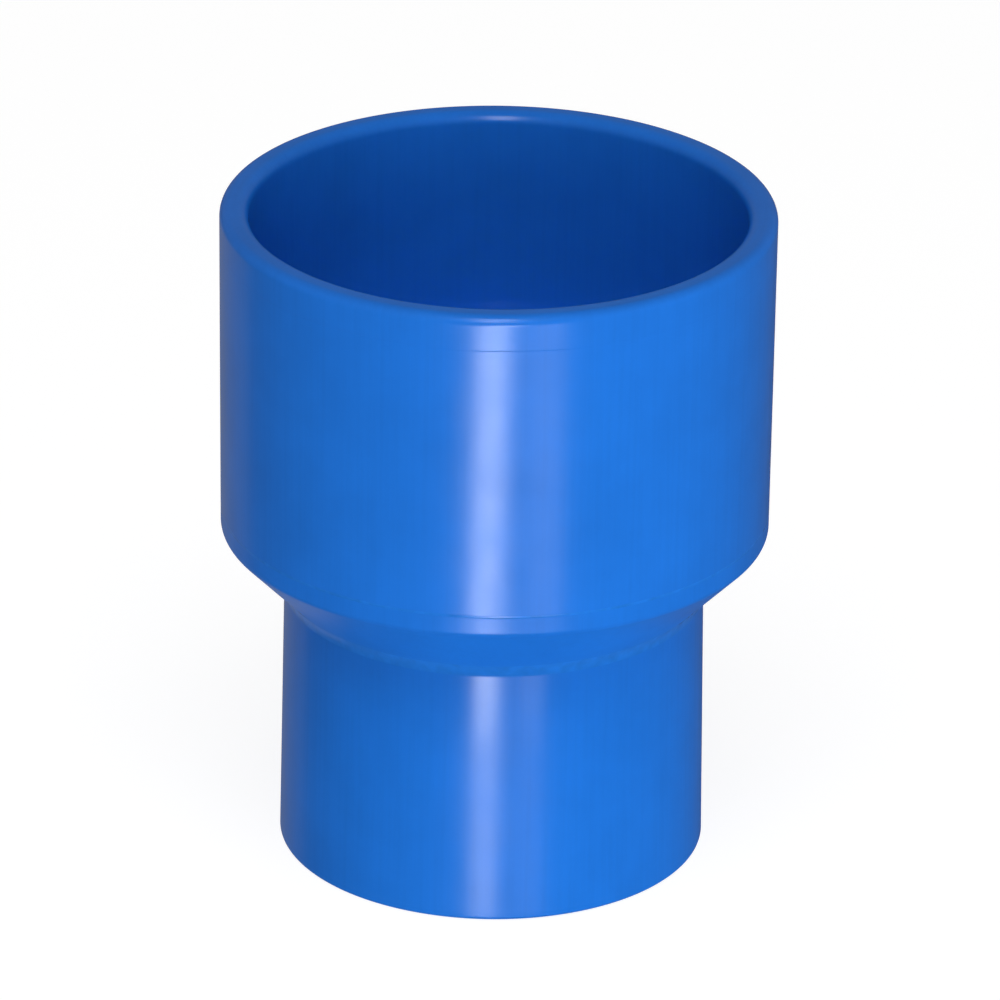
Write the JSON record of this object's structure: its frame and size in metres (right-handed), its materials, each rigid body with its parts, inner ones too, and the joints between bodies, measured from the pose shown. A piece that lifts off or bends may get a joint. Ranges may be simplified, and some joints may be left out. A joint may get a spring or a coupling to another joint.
{
  "type": "concentric reducer",
  "caption": "Straight pipe reducer: a larger and a smaller plain socket sleeve cemented onto a short conical reducing collar.",
  "frame": {"origin": "centre of the small mouth's end face, which the fitting stands on", "axes": "+Z along the bore axis, from the small mouth up to the large mouth; the part is the same all round, so +X and +Y are any two directions across it"},
  "size_m": [0.1282, 0.1282, 0.158],
  "materials": {
    "sleeve_plastic": "moulded rigid plastic in one bright blue, semi-gloss, with faint lengthwise drawing and fine mottle",
    "collar_plastic": "the same blue rigid plastic, semi-gloss",
    "cement": "cured blue solvent cement, smooth and glossy"
  },
  "bodies": {
    "root": {"large_socket_sleeve": "sleeve_plastic", "reducing_collar": "collar_plastic", "small_socket_sleeve": "sleeve_plastic", "large_joint_cement_bead": "cement", "small_joint_cement_bead": "cement"}
  },
  "joints": []
}
